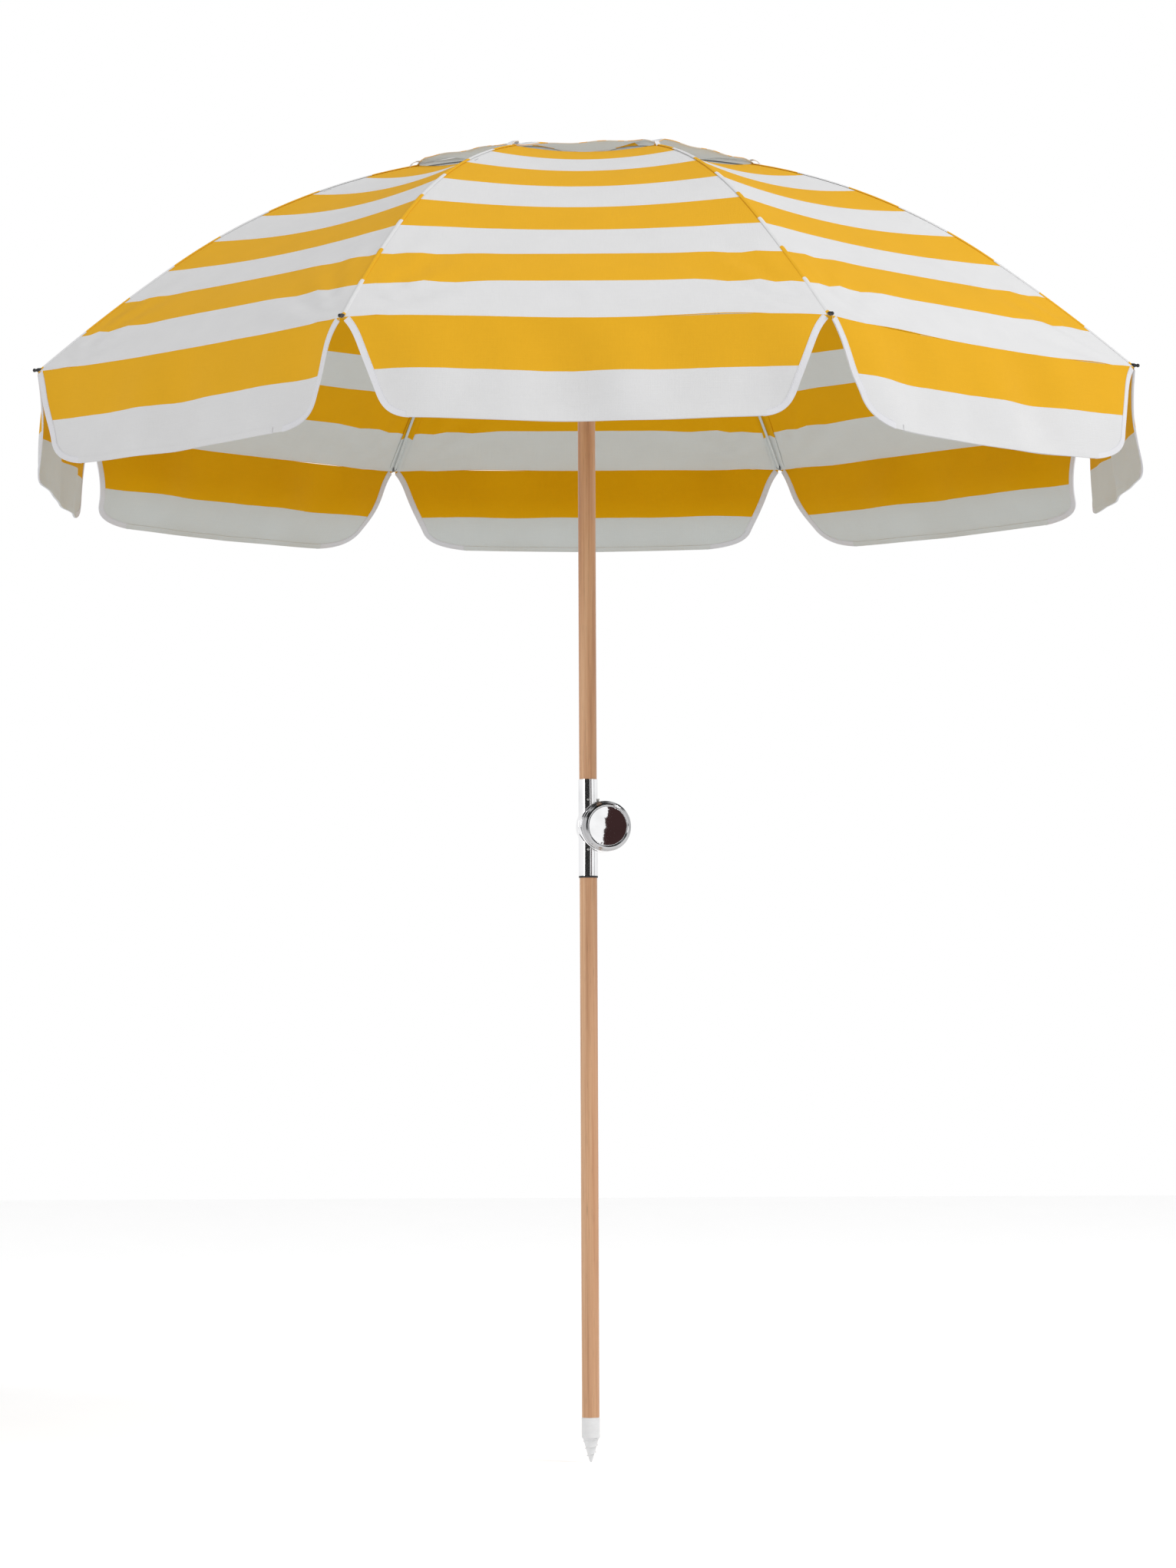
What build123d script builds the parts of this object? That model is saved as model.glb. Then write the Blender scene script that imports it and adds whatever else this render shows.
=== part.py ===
"""Octagonal beach umbrella with a valance, a vent cap, a tilting timber pole and a ground screw.

The origin is on the pole's axis at the lower edge of the ground screw's collar. +Z runs up the pole.
The ribs stand at 22.5 degrees to the X and Y axes, so that one canopy panel faces each axis.
"""
from build123d import *
import os
from math import asin, atan2, cos, degrees, hypot, radians, sin, sqrt, tan

# ---------------------------------------------------------------- driving dimensions (mm, degrees)
SIDES = 8
HALF_SIDE = 180 / SIDES             # angle from a rib to the middle of its panel
TIP_R = 930                         # rib plane radius of the canopy's corners
KNEE_R = 700                        # where the seam's inner arc runs into its flatter outer arc
SEAM_R = 1150                       # radius of the seam's inner arc
SEAM_CENTRE_X = 22                  # centre of that arc, in the rib's plane
SEAM_CENTRE_Z = 945
OUTER_R = 3300                      # radius of the outer arc, tangent at the knee
ROD_DEPTH = 5                       # rib rod's centre line below the cloth's outer face
ROD_R = 2.25
VENT_R = 293                        # rib plane radius of the vent's hem
CAP_R = 296
CAP_LIFT = 2.6                      # vent cap above the canopy's curve
CLOTH_T = 1.0
PANEL_GAP = 0.6                     # slit between two petals at a panel's mid-line
VALANCE_DROP = 158
VALANCE_FLARE = 11                  # from the vertical
VALANCE_SIDE_INSET = 55             # flap's edge from the corner's plumb, above the round corner

POLE_R = 14.3
TENON_R = 13
COLLAR_R = 15
COLLAR_H = 32
COLLAR_ROUND = 1.8                  # rounding below the collar's straight wall and at its top
SCREW_TIP_Z = -41
SLEEVE_R = 15.75
SLEEVE_BOTTOM_Z = 910.5
SEAL_H = 3                          # black ring below the sleeve
PIVOT_Z = 991
SLEEVE_TOP_Z = 1068.5
UPPER_SOCKET = 44                   # above the pivot: where the upper pole's tenon ends
PIVOT_OFFSET = 25                   # pivot axis to pole axis
PIVOT_TURN = 14.5                   # pivot axis turned from -Y towards +X
DISC_R = 42
DISC_T = 15
WASHER_T = 1.0
SLIDE_GAP = 0.4                     # free gap between pieces that move past each other
RUNNING_GAP = 0.06                  # radial clearance of a pin that turns in an eye
BOLT_R = 5
KNOB_R = 41
KNOB_FRONT = 34
FACE_R = 32
STOP_SLOT_R = 36                    # radius of the tilt stop's arc slot
TILT = 45

HINGE_R = 26                        # radius of the crown's and the runner's pivots
CROWN_Z = 2090                      # height of the crown's pivots
CLIP_X = 450                        # the strut's outer pivot
CLIP_Z = 1998
EYE_R = 4.5
EYE_T = 2.4
SLOT_W = 3.4
SLOT_FLOOR_R = 20.8
FLANGE_R = 33
RIVET_R = 1.5
RUNNER_BORE_R = 14.7
RUNNER_R = 20
RUNNER_H = 66
CATCH_Z = 1792                      # catch leaf's pivot
CATCH_H = 46
FERRULE_TILT = 6                    # below the horizontal: the rib tips turn up into the corners

KNEE_ANGLE = asin((KNEE_R - SEAM_CENTRE_X) / SEAM_R)
INNER_ARC = (SEAM_R, SEAM_CENTRE_X, SEAM_CENTRE_Z)
OUTER_ARC = (OUTER_R, KNEE_R - OUTER_R * sin(KNEE_ANGLE),
             SEAM_CENTRE_Z + (SEAM_R - OUTER_R) * cos(KNEE_ANGLE))
STRUT_L = hypot(CLIP_X - HINGE_R, CROWN_Z - CLIP_Z)
RUNNER_Z = 2 * CLIP_Z - CROWN_Z     # height of the strut's inner pivot with the canopy open

os.makedirs("parts", exist_ok=True)


# ---------------------------------------------------------------- helpers
def save(name, shape):
    """Write one node; a group of solids is written as a compound."""
    shape.label = name
    export_step(shape, f"parts/{name}.step")
    print(f"{name}: {len(shape.solids())} solids, {shape.volume / 1000:.2f} cm3")


def group(*shapes):
    return Compound(children=list(shapes))


def ring(r_out, r_in, z_low, z_high):
    """A tube between two heights on the pole's axis; r_in of 0 gives a rod."""
    tube = extrude(Plane.XY.offset(z_low) * Circle(r_out), z_high - z_low)
    if r_in > 0:
        tube -= extrude(Plane.XY.offset(z_low - 1) * Circle(r_in), z_high - z_low + 2)
    return tube


def round_ends(shape, radius):
    """Round the highest and lowest circular edges of a turned piece."""
    edges = shape.edges().filter_by(GeomType.CIRCLE).sort_by(Axis.Z)
    outer = [edge for edge in edges if edge.radius == max(e.radius for e in edges)]
    return fillet([outer[0], outer[-1]], radius)


def turned(points):
    """Revolve a closed outline of (radius, height) points about the pole's axis."""
    return revolve(Plane.XZ * make_face(Polyline(*points, close=True)), Axis.Z)


def seam_arc(r):
    """Radius and centre of the arc that the seam follows at rib plane radius r."""
    return INNER_ARC if r <= KNEE_R else OUTER_ARC


def seam_z(r, depth=0):
    """Height of the seam at rib plane radius r, or of a curve that much below it."""
    radius, centre_x, centre_z = seam_arc(r)
    return centre_z + sqrt((radius - depth) ** 2 - (r - centre_x) ** 2)


def seam_slope(r, depth=0):
    """Angle below the horizontal of the seam at rib plane radius r."""
    radius, centre_x, centre_z = seam_arc(r)
    return degrees(asin((r - centre_x) / (radius - depth)))


def seam_pieces(r_low, r_high, depth=0):
    """The seam between two radii as (arc, start angle, end angle) pieces."""
    start, end = seam_slope(r_low, depth), seam_slope(r_high, depth)
    if seam_arc(r_low) == seam_arc(r_high):
        return [(seam_arc(r_low), start, end)]
    knee = degrees(KNEE_ANGLE)
    return [(INNER_ARC, start, knee), (OUTER_ARC, knee, end)]


def around(shape, index):
    """Copy a piece made at azimuth 0 to rib number index, counted from 0."""
    return Rot(0, 0, HALF_SIDE + index * 2 * HALF_SIDE) * shape


def rib_plane_rod(x, z, length, r):
    """A round pin across the rib's plane, centred at (x, z)."""
    return Pos(x, 0, z) * Rot(90, 0, 0) * Cylinder(r, length)


# ---------------------------------------------------------------- ground screw and lower pole
def ground_screw():
    """White collar over the pole's tenon, with a tapered core and a helical flight below."""
    collar = round_ends(ring(COLLAR_R, 0, -COLLAR_ROUND, COLLAR_H), COLLAR_ROUND)
    core_r = 13.4
    core = turned([(0, 3), (core_r, 3), (core_r, -1), (2.2, SCREW_TIP_Z + 2), (0, SCREW_TIP_Z)])
    socket = ring(TENON_R - 1.1, 0, 6, COLLAR_H + 1)
    pitch = 12
    flight_h = 30
    taper = 14
    start_r = 11.6
    path = Pos(0, 0, -1) * Rot(180, 0, 0) * Helix(pitch, flight_h, start_r, cone_angle=-taper)
    start = path @ 0
    along = path % 0
    outward = Vector(start.X, start.Y, 0).normalized()
    section_plane = Plane(start, x_dir=outward, z_dir=along)
    section = section_plane * Polygon((-1.2, -1.5), (2.9, -0.35), (2.9, 0.35), (-1.2, 1.5), align=None)
    flight = sweep(section, path, is_frenet=True)
    return collar + core + flight - socket


def lower_pole():
    """Turned timber with a tenon in the collar and a spigot for the chrome sleeve."""
    shaft = ring(POLE_R, 0, COLLAR_H, SLEEVE_BOTTOM_Z - SEAL_H)
    tenon = ring(TENON_R - 1.1, 0, 6, COLLAR_H)
    spigot = ring(TENON_R, 0, SLEEVE_BOTTOM_Z - SEAL_H, SLEEVE_BOTTOM_Z + 33)
    spigot = chamfer(spigot.edges().sort_by(Axis.Z)[-1], 1.5)
    return shaft + tenon + spigot


def pole_seal():
    """Black ring that the sleeve stands on."""
    return round_ends(ring(POLE_R + 1.3, TENON_R, SLEEVE_BOTTOM_Z - SEAL_H, SLEEVE_BOTTOM_Z - 0.1), 0.6)


# ---------------------------------------------------------------- tilt knuckle
FRONT = Vector(sin(radians(PIVOT_TURN)), -cos(radians(PIVOT_TURN)), 0)      # along the pivot, to the knob
ACROSS = Vector(cos(radians(PIVOT_TURN)), sin(radians(PIVOT_TURN)), 0)      # from the pole to the pivot
PIVOT = ACROSS * PIVOT_OFFSET + Vector(0, 0, PIVOT_Z)


def pivot_plane(s):
    """Plane square to the pivot, s in front of the pole's axis: x across, y up."""
    return Plane(PIVOT + FRONT * s, x_dir=ACROSS, z_dir=FRONT)


def disc(r, back, front, bore=0):
    """A disc about the pivot between two distances in front of the pole's axis."""
    solid = extrude(pivot_plane(back) * Circle(r), front - back)
    if bore > 0:
        solid -= extrude(pivot_plane(back - 1) * Circle(bore), front - back + 2)
    return solid


def sleeve(z_low, z_high, socket_low, socket_high, bore):
    tube = ring(SLEEVE_R, 0, z_low, z_high)
    return tube - ring(bore, 0, socket_low, socket_high)


def lower_knuckle():
    """Lower sleeve with the rear disc; the arc slot limits the tilt."""
    rim = 1.2
    body = sleeve(SLEEVE_BOTTOM_Z, PIVOT_Z + 6, SLEEVE_BOTTOM_Z - 1, SLEEVE_BOTTOM_Z + 34,
                  TENON_R + RUNNING_GAP)
    body -= disc(DISC_R + 0.6, 0, 2 * DISC_T)
    body -= Pos(0, 0, PIVOT_Z + 40) * Box(200, 200, 80) - disc(DISC_R, -2 * DISC_T, 0)
    plate = disc(DISC_R, -DISC_T, 0)
    plate = fillet(plate.edges().filter_by(GeomType.CIRCLE), rim)
    body += plate
    body -= extrude(pivot_plane(-DISC_T - 10) * Circle(BOLT_R), 2 * DISC_T)
    return body - stop_slot()


def stop_slot():
    """Arc slot about the pivot for the stop pin."""
    start = 33.5
    end = -18.5
    half_width = 2.6
    arc = CenterArc((0, 0), STOP_SLOT_R, end, start - end)
    outline = offset(arc, half_width, side=Side.BOTH, kind=Kind.ARC)
    return extrude(pivot_plane(-7) * make_face(outline), 8)


def upper_knuckle():
    """Upper sleeve with the front disc that turns on the pivot bolt."""
    back = WASHER_T + SLIDE_GAP
    rim = 1.2
    body = sleeve(PIVOT_Z - 6, SLEEVE_TOP_Z, PIVOT_Z + UPPER_SOCKET, SLEEVE_TOP_Z + 1, TENON_R)
    body -= disc(DISC_R + 0.6, -2 * DISC_T, back)
    body -= Pos(0, 0, PIVOT_Z - 40) * Box(200, 200, 80) - disc(DISC_R, back, 2 * DISC_T)
    plate = disc(DISC_R, back, DISC_T)
    plate = fillet(plate.edges().filter_by(GeomType.CIRCLE), rim)
    body = body - disc(DISC_R + 1, DISC_T - rim, 2 * DISC_T) + plate
    body -= extrude(pivot_plane(0) * Circle(BOLT_R + RUNNING_GAP), 2 * DISC_T)
    pin_at = Pos(*polar(STOP_SLOT_R, 30))
    return body - extrude(pivot_plane(0) * pin_at * Circle(2), DISC_T - 5)


def polar(r, angle):
    return r * cos(radians(angle)), r * sin(radians(angle))


def friction_washer():
    """Fibre washer between the two discs."""
    return disc(30, 0, WASHER_T, BOLT_R)


def pivot_bolt():
    """Carriage bolt from behind, through both discs and into the knob."""
    shank = disc(BOLT_R, -DISC_T, KNOB_FRONT - 5)
    head = fillet(disc(11, -DISC_T - 4.5, -DISC_T).edges().filter_by(GeomType.CIRCLE)[0:1], 2)
    return shank + head


def screw_head(r, height, z):
    """A low domed screw head on the front of a sleeve."""
    head = Pos(0, -SLEEVE_R - height / 2 + 0.3, z) * Rot(90, 0, 0) * Cylinder(r, height + 0.6)
    return fillet(head.edges().filter_by(GeomType.CIRCLE).sort_by(Axis.Y)[0], 0.5)


def upper_fasteners():
    """Sleeve screw, tilt stop pin and the small screw on the front disc's rim."""
    pin_at = Pos(*polar(STOP_SLOT_R, 30))
    pin = extrude(pivot_plane(-5) * pin_at * Circle(2), DISC_T)
    rim_angle = 103
    spot = Plane(PIVOT + FRONT * 8 + turned_across(rim_angle) * (DISC_R - 2), z_dir=turned_across(rim_angle))
    stud = extrude(spot * Circle(1.6), 5.5)
    stud += extrude(spot.offset(4.2) * RegularPolygon(2.6, 6), 2.4)
    return group(screw_head(1.8, 1.0, PIVOT_Z + UPPER_SOCKET), pin, stud)


def turned_across(angle):
    """Unit vector at an angle about the pivot from the across direction."""
    return ACROSS * cos(radians(angle)) + Vector(0, 0, 1) * sin(radians(angle))


def knob():
    """Hollow drum with a finger rim, a stepped bezel and a shallow seat for the face disc."""
    back = DISC_T + SLIDE_GAP
    outline = [
        (BOLT_R + 5, back), (18, back), (18, KNOB_FRONT - 8), (KNOB_R - 7, KNOB_FRONT - 8),
        (KNOB_R - 7, back), (KNOB_R - 4, back), (KNOB_R - 1.5, back + 1.5), (KNOB_R, back + 4),
        (KNOB_R, back + 9), (KNOB_R - 1.6, back + 11), (KNOB_R - 2.2, KNOB_FRONT - 3.4),
        (KNOB_R - 4, KNOB_FRONT - 0.8), (KNOB_R - 6.4, KNOB_FRONT), (FACE_R + 1.6, KNOB_FRONT - 0.7),
        (FACE_R, KNOB_FRONT - 2.6), (FACE_R, KNOB_FRONT - 4.5), (BOLT_R + 5, KNOB_FRONT - 4.5),
    ]
    section_plane = Plane(PIVOT, x_dir=ACROSS, z_dir=Vector(0, 0, -1))
    section = section_plane * make_face(Polyline(*outline, close=True))
    return revolve(section, Axis(PIVOT, FRONT))


def knob_insert():
    """Threaded brass sleeve pressed into the drum."""
    return disc(BOLT_R + 5, DISC_T + SLIDE_GAP, KNOB_FRONT - 4.5, BOLT_R + RUNNING_GAP)


def knob_face():
    """Blank polished disc in the bezel."""
    face = disc(FACE_R, KNOB_FRONT - 4.5, KNOB_FRONT - 2.2)
    return fillet(face.edges().filter_by(GeomType.CIRCLE).sort_by(Axis(PIVOT, FRONT))[-1], 0.5)


# ---------------------------------------------------------------- upper pole, catch and crown
def upper_pole():
    """Timber with a tenon in the upper sleeve and a slot for the catch leaf."""
    shaft = ring(POLE_R, 0, SLEEVE_TOP_Z, CROWN_Z - 11)
    tenon = ring(TENON_R, 0, PIVOT_Z + UPPER_SOCKET, SLEEVE_TOP_Z)
    slot_depth = 6
    slot = Pos(POLE_R - slot_depth / 2 + 2, 0, CATCH_Z + CATCH_H / 2) * Box(slot_depth + 4, 4, CATCH_H + 12)
    return shaft + tenon - slot - rib_plane_rod(POLE_R - 3, CATCH_Z, 9, 1)


def catch():
    """Spring leaf that swings out under the runner."""
    x = POLE_R - 3
    leaf = Polyline((x - 1.6, -3), (x + 1.6, -3), (x + 1.9, CATCH_H - 9), (x + 2.7, CATCH_H - 3),
                    (x + 2.7, CATCH_H), (x - 1.2, CATCH_H), close=True)
    solid = extrude(Plane.XZ * make_face(leaf), 1.5, both=True)
    return Pos(0, 0, CATCH_Z) * solid - rib_plane_rod(x, CATCH_Z, 9, 1 + RUNNING_GAP)


def radial_slots(z_low, z_high):
    """Eight slots open to the outside, for eyes that swing in them."""
    long = 40
    slot = Pos(SLOT_FLOOR_R + long / 2, 0, (z_low + z_high) / 2) * Box(long, SLOT_W, z_high - z_low)
    return [around(slot, index) for index in range(SIDES)]


def crown():
    """Notched hub on the pole's top, with a hole across each notch for its pin."""
    hub = ring(SLOT_FLOOR_R - 1, 0, CROWN_Z - 45, CROWN_Z + 5)
    hub += ring(FLANGE_R, 0, CROWN_Z - 6, CROWN_Z + 5)
    hub = fillet(hub.edges().filter_by(GeomType.CIRCLE).group_by(Axis.Z)[-1], 1)
    hub -= ring(POLE_R, 0, CROWN_Z - 46, CROWN_Z - 11)
    hub -= radial_slots(CROWN_Z - 7, CROWN_Z + 6)
    return hub - [around(rib_plane_rod(HINGE_R, CROWN_Z, 12, RIVET_R), index) for index in range(SIDES)]


def crown_pins():
    return group(*[around(rib_plane_rod(HINGE_R, CROWN_Z, 12, RIVET_R), index) for index in range(SIDES)])


def finial():
    """Low turned button that clamps the cap's centre to the crown."""
    base = CROWN_Z + 5
    outline = [
        (0, base), (5, base), (5, base + 3.1), (33, base + 3.0), (34, base + 4.4), (31, base + 6.6),
        (16, base + 8.6), (15, base + 11.2), (13.5, base + 14.7), (9, base + 17.2), (0, base + 18.2),
    ]
    return turned(outline)


# ---------------------------------------------------------------- runner
def runner():
    """Sliding sleeve with eight slots for the struts' inner eyes."""
    half_flange = 6
    body = ring(FLANGE_R, 0, RUNNER_Z - half_flange, RUNNER_Z + half_flange)
    body = fillet(body.edges().filter_by(GeomType.CIRCLE), 1)
    body += ring(RUNNER_R, 0, RUNNER_Z + half_flange - RUNNER_H, RUNNER_Z)
    body -= ring(RUNNER_BORE_R, 0, RUNNER_Z - RUNNER_H, RUNNER_Z + RUNNER_H)
    for step in range(3):
        z = RUNNER_Z - half_flange - 14 - 12 * step
        body -= ring(RUNNER_R + 1, RUNNER_R - 1, z - 2, z + 2)
    return body - radial_slots(RUNNER_Z - half_flange - 1, RUNNER_Z + half_flange + 1)


# ---------------------------------------------------------------- one rib, made at azimuth 0
def rod_slice(r_low, r_high, radius):
    """Part of the rib's bowed rod between two rib plane radii."""
    pieces = []
    for (arc_r, centre_x, centre_z), start, end in seam_pieces(r_low, r_high, ROD_DEPTH):
        along = (cos(radians(start)), 0, -sin(radians(start)))
        at = (centre_x + (arc_r - ROD_DEPTH) * sin(radians(start)), 0,
              centre_z + (arc_r - ROD_DEPTH) * cos(radians(start)))
        section = Plane(at, x_dir=(0, 1, 0), z_dir=along) * Circle(radius)
        pieces.append(revolve(section, Axis((centre_x, 0, centre_z), (0, 1, 0)), end - start))
    return pieces[0] if len(pieces) == 1 else pieces[0] + pieces[1]


def rib():
    return rod_slice(HINGE_R + 11, TIP_R - 10, ROD_R)


def root_eye():
    """Flat eye on the crown's pin, with a neck that carries the rod."""
    eye = rib_plane_rod(HINGE_R, CROWN_Z, EYE_T, EYE_R)
    neck_end = HINGE_R + 20
    top = seam_z(neck_end, ROD_DEPTH)
    neck = Polyline((HINGE_R, CROWN_Z - 3.2), (neck_end, top - 3.4), (neck_end, top + 3.0),
                    (HINGE_R, CROWN_Z + 3.6), close=True)
    eye += extrude(Plane.XZ * make_face(neck), EYE_T / 2, both=True)
    eye += rod_slice(HINGE_R + 12, neck_end, ROD_R + 0.9)
    eye -= rod_slice(HINGE_R + 11, neck_end + 3, ROD_R)
    return eye - rib_plane_rod(HINGE_R, CROWN_Z, 9, RIVET_R + RUNNING_GAP)


def strut_clip():
    """Clamp on the rod with two ears and a rivet for the strut's outer eye."""
    rod_z = seam_z(CLIP_X, ROD_DEPTH)
    slope = seam_slope(CLIP_X, ROD_DEPTH)
    block = Pos(CLIP_X, 0, rod_z) * Rot(0, slope, 0) * Box(16, 7.4, 6.6)
    block = fillet(block.edges().filter_by(Axis.Y), 1)
    ear = Polyline((CLIP_X - 6, rod_z), (CLIP_X - 4, CLIP_Z - 3), (CLIP_X - 1.5, CLIP_Z - 4.4),
                   (CLIP_X + 2.5, CLIP_Z - 4), (CLIP_X + 4.6, CLIP_Z), (CLIP_X + 6, rod_z - 1), close=True)
    ears = extrude(Plane.XZ * make_face(ear), 3.5, both=True)
    clip = block + ears
    clip -= Pos(CLIP_X, 0, CLIP_Z) * Rot(90, 0, 0) * Cylinder(EYE_R + 0.8, EYE_T + 0.8)
    clip -= Pos(CLIP_X - 8, 0, CLIP_Z - 4) * Box(16, EYE_T + 0.8, 10)
    clip -= rod_slice(CLIP_X - 12, CLIP_X + 12, ROD_R)
    clip -= rib_plane_rod(CLIP_X, CLIP_Z, 9, RIVET_R)
    rivet = rib_plane_rod(CLIP_X, CLIP_Z, 8.4, RIVET_R)
    return clip, rivet


def tip_ferrule():
    """Black ferrule with a ball that the canopy's corner hooks over."""
    start_r = TIP_R - 12
    base = Pos(start_r, 0, seam_z(start_r, ROD_DEPTH)) * Rot(0, 90 + FERRULE_TILT, 0)
    outline = [(0, 0), (3.0, 0), (3.2, 2), (3.2, 12), (2.3, 13.5), (2.0, 15), (0, 15)]
    barrel = base * turned(outline)
    ball = base * Pos(0, 0, 17.2) * Sphere(2.9)
    return barrel + ball - rod_slice(start_r - 1, TIP_R - 10, ROD_R)


def rib_fittings():
    clip, rivet = strut_clip()
    return group(root_eye(), clip, rivet, tip_ferrule())


def strut():
    """Pressed steel stay with a flat eye at each end."""
    slope = degrees(atan2(CLIP_Z - RUNNER_Z, CLIP_X - HINGE_R))
    eye = extrude(Plane.XZ * Circle(EYE_R - 0.3), EYE_T / 2, both=True)
    neck = 46
    bar = Pos(STRUT_L / 2, 0, 0) * Box(STRUT_L - 2 * neck, 5.2, 5.2)
    bar = fillet(bar.edges().filter_by(Axis.X), 1.4)
    flat = Pos(STRUT_L / 2, 0, 0) * Box(STRUT_L, EYE_T, 5.0)
    body = bar + flat + eye + Pos(STRUT_L, 0, 0) * eye
    hole = rib_plane_rod(0, 0, 9, RIVET_R + RUNNING_GAP)
    body = body - hole - Pos(STRUT_L, 0, 0) * hole
    return Pos(HINGE_R, 0, RUNNER_Z) * Rot(0, -slope, 0) * body


# ---------------------------------------------------------------- cloth, made at azimuth 0
def panel_plane():
    """Section plane through the middle of the panel beside rib 0: x outward, y up."""
    angle = radians(HALF_SIDE)
    outward = Vector(cos(angle), sin(angle), 0)
    return Plane((0, 0, 0), x_dir=outward, z_dir=Vector(sin(angle), -cos(angle), 0))


def panel_section(r_low, r_high, lift=0):
    """Band of cloth in the panel's mid-plane; its curve is the seam's, narrowed by the side angle."""
    narrow = cos(radians(HALF_SIDE))

    def curve(offset):
        edges = []
        for (arc_r, centre_x, centre_z), low, high in seam_pieces(r_low, r_high, -offset):
            radius = arc_r + offset
            edges.append(EllipticalCenterArc((centre_x * narrow, centre_z), radius * narrow, radius,
                                             90 - high, arc_size=high - low))
        return edges

    outer = curve(lift)
    inner = curve(lift - CLOTH_T)
    ends = [Line(outer[0] @ 1, inner[0] @ 1), Line(outer[-1] @ 0, inner[-1] @ 0)]
    return make_face(outer + inner + ends)


def half_panel(r_low, r_high, lift=0):
    """Half of a panel, from the rib's plane to the panel's mid-line."""
    strip = extrude(panel_plane() * panel_section(r_low, r_high, lift), r_high)
    reach = r_high * 1.2
    edge = reach * tan(radians(HALF_SIDE)) - PANEL_GAP / 2 / cos(radians(HALF_SIDE))
    start = PANEL_GAP / 2 / sin(radians(HALF_SIDE))
    wedge = extrude(make_face(Polyline((start, 0), (reach, 0), (reach, edge), close=True)), CROWN_Z + 100)
    return strip & wedge


def both_halves(half):
    return half + mirror(half, about=Plane.XZ)


def canopy_petal():
    """The canopy around one rib: two half panels that meet at the seam."""
    return both_halves(half_panel(VENT_R, TIP_R))


def vent_cap():
    """Small eight-sided cap over the open centre, one closed sheet with a flat middle disc."""
    start_r = 24
    disc_r = 31
    lip = 0.15
    petals = [around(both_halves(half_panel(start_r, CAP_R, CAP_LIFT)), index) for index in range(SIDES)]
    weld = PANEL_GAP + 1
    band = panel_plane() * panel_section(start_r, CAP_R, CAP_LIFT)
    welds = [around(extrude(band, weld / 2, both=True), index) for index in range(SIDES)]
    top = seam_z(start_r) + CAP_LIFT + lip
    middle = ring(disc_r, 6, top - CLOTH_T - 2 * lip, top)
    return middle + petals + welds


def half_valance():
    """Half a hanging flap: straight rim, waved side edge, large round corner, straight hem."""
    angle = radians(HALF_SIDE)
    outward = Vector(cos(angle), sin(angle), 0)
    to_rib = Vector(sin(angle), -cos(angle), 0)
    flare = radians(VALANCE_FLARE)
    down = outward * sin(flare) - Vector(0, 0, 1) * cos(flare)
    rim_r = TIP_R * cos(angle)
    origin = outward * rim_r + Vector(0, 0, seam_z(TIP_R))
    plane = Plane(origin, x_dir=to_rib, z_dir=to_rib.cross(down))
    half_w = TIP_R * sin(angle)
    low_w = half_w - VALANCE_SIDE_INSET
    rim_gap = 1.6
    corner_h = 40
    corner_x = low_w - 90
    side = Spline((half_w - 7, rim_gap), (half_w - 23, 42), (half_w - 43, 88),
                  (low_w, VALANCE_DROP - corner_h), tangents=[(-0.3, 1), (-0.45, 1)])
    corner = Spline((low_w, VALANCE_DROP - corner_h), (corner_x, VALANCE_DROP),
                    tangents=[(-0.45, 1), (-1, 0)])
    outline = [
        side, corner, Line((corner_x, VALANCE_DROP), (PANEL_GAP / 2, VALANCE_DROP)),
        Line((PANEL_GAP / 2, VALANCE_DROP), (PANEL_GAP / 2, rim_gap)),
        Line((PANEL_GAP / 2, rim_gap), (half_w - 7, rim_gap)),
    ]
    return extrude(plane * make_face(outline), CLOTH_T / 2, both=True)


def valance():
    half = half_valance()
    return group(half, mirror(half, about=Plane.XZ))


# ---------------------------------------------------------------- write the nodes
save("ground_screw", ground_screw())
save("lower_pole", lower_pole())
save("pole_seal", pole_seal())
save("lower_knuckle", lower_knuckle())
save("lower_sleeve_screw", screw_head(1.8, 1.0, PIVOT_Z - 37.5))
save("friction_washer", friction_washer())
save("pivot_bolt", pivot_bolt())
save("knob", knob())
save("knob_face", knob_face())
save("knob_insert", knob_insert())
save("upper_knuckle", upper_knuckle())
save("upper_fasteners", upper_fasteners())
save("upper_pole", upper_pole())
save("catch", catch())
save("catch_pin", rib_plane_rod(POLE_R - 3, CATCH_Z, 9, 1))
save("crown", crown())
save("crown_pins", crown_pins())
save("finial", finial())
save("vent_cap", vent_cap())
save("runner", runner())

per_rib = {"rib": rib(), "rib_fittings": rib_fittings(), "strut": strut(),
           "canopy": canopy_petal(), "valance": valance()}
for number in range(SIDES):
    for name, shape in per_rib.items():
        save(f"{name}_{number + 1}", around(shape, number))

print(f"strut {STRUT_L:.1f} mm, runner pivot height {RUNNER_Z:.1f} mm")
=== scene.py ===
"""Beach umbrella: striped canvas, timber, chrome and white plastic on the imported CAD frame. Metres.

Rib n stands between panels n - 1 and n. The cloth beside a rib rides on that rib's body, and the half
flaps beside it ride on valance n.
"""
import bpy
import math
import numpy as np
from mathutils import Euler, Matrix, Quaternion, Vector


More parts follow.
